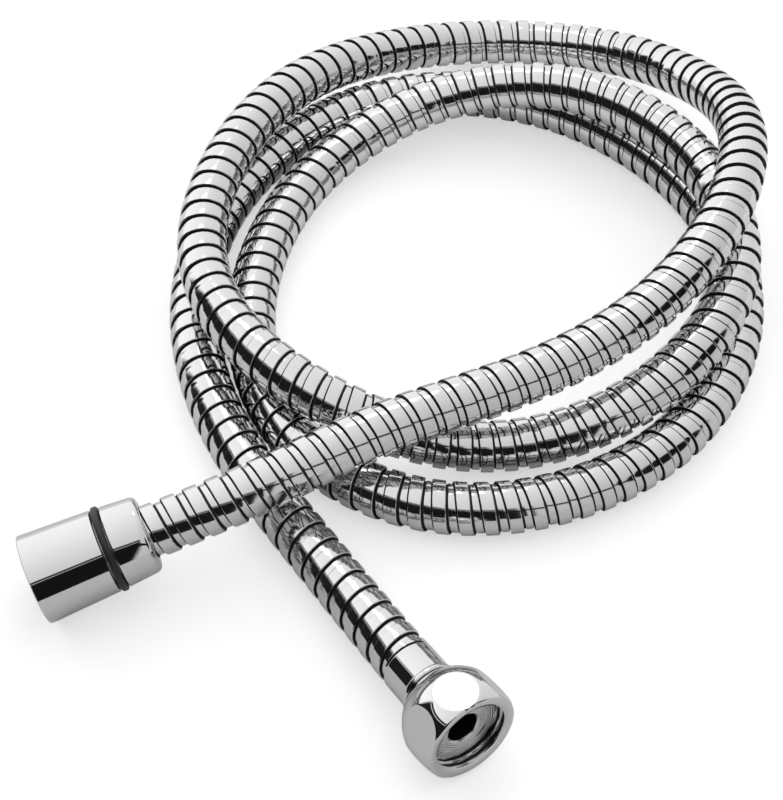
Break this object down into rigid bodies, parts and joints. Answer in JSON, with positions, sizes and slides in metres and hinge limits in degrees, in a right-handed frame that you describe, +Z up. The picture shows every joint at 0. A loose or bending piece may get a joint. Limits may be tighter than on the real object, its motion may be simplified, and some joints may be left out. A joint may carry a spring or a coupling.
{
  "type": "shower hose",
  "caption": "Flexible chromed metal shower hose lying in a loose coil, with a conical swivel nut at one end and a domed hexagon union nut at the other.",
  "frame": {"origin": "on the floor under the middle of the whole coil's box", "axes": "+Z up from the floor, +X along the coil's longest extent, away from the conical end; the hexagon nut's mouth faces -Y"},
  "size_m": [0.2608, 0.2238, 0.0433],
  "materials": {
    "chrome": "mirror-bright plating",
    "turned_brass": "turned and nickel plated",
    "black_plastic": "moulded, satin",
    "black_rubber": "matt",
    "white_nylon": "matt"
  },
  "bodies": {
    "hose": {"metal_hose": "chrome", "inner_tube": "black_rubber", "hex_end_insert": "turned_brass", "hex_end_ferrule": "chrome", "cone_collar": "chrome", "bearing_ring": "black_plastic", "cone_end_insert": "turned_brass", "cone_end_ferrule": "turned_brass", "swivel_seal_ring": "black_rubber", "slide_washer": "white_nylon"},
    "hex_nut_body": {"hex_nut": "chrome"},
    "cone_nut_body": {"cone_nut": "chrome"}
  },
  "joints": [
    {"name": "hex_nut_spin", "type": "hinge", "parent": "hose", "child": "hex_nut_body", "pos_m": [-0.064, -0.10228, 0.01226], "axis": [0, -0.9903, 0.1392], "continuous": true},
    {"name": "cone_nut_spin", "type": "hinge", "parent": "hose", "child": "cone_nut_body", "pos_m": [-0.11868, -0.01554, 0.01306], "axis": [-0.961, 0.2219, -0.165], "continuous": true}
  ]
}
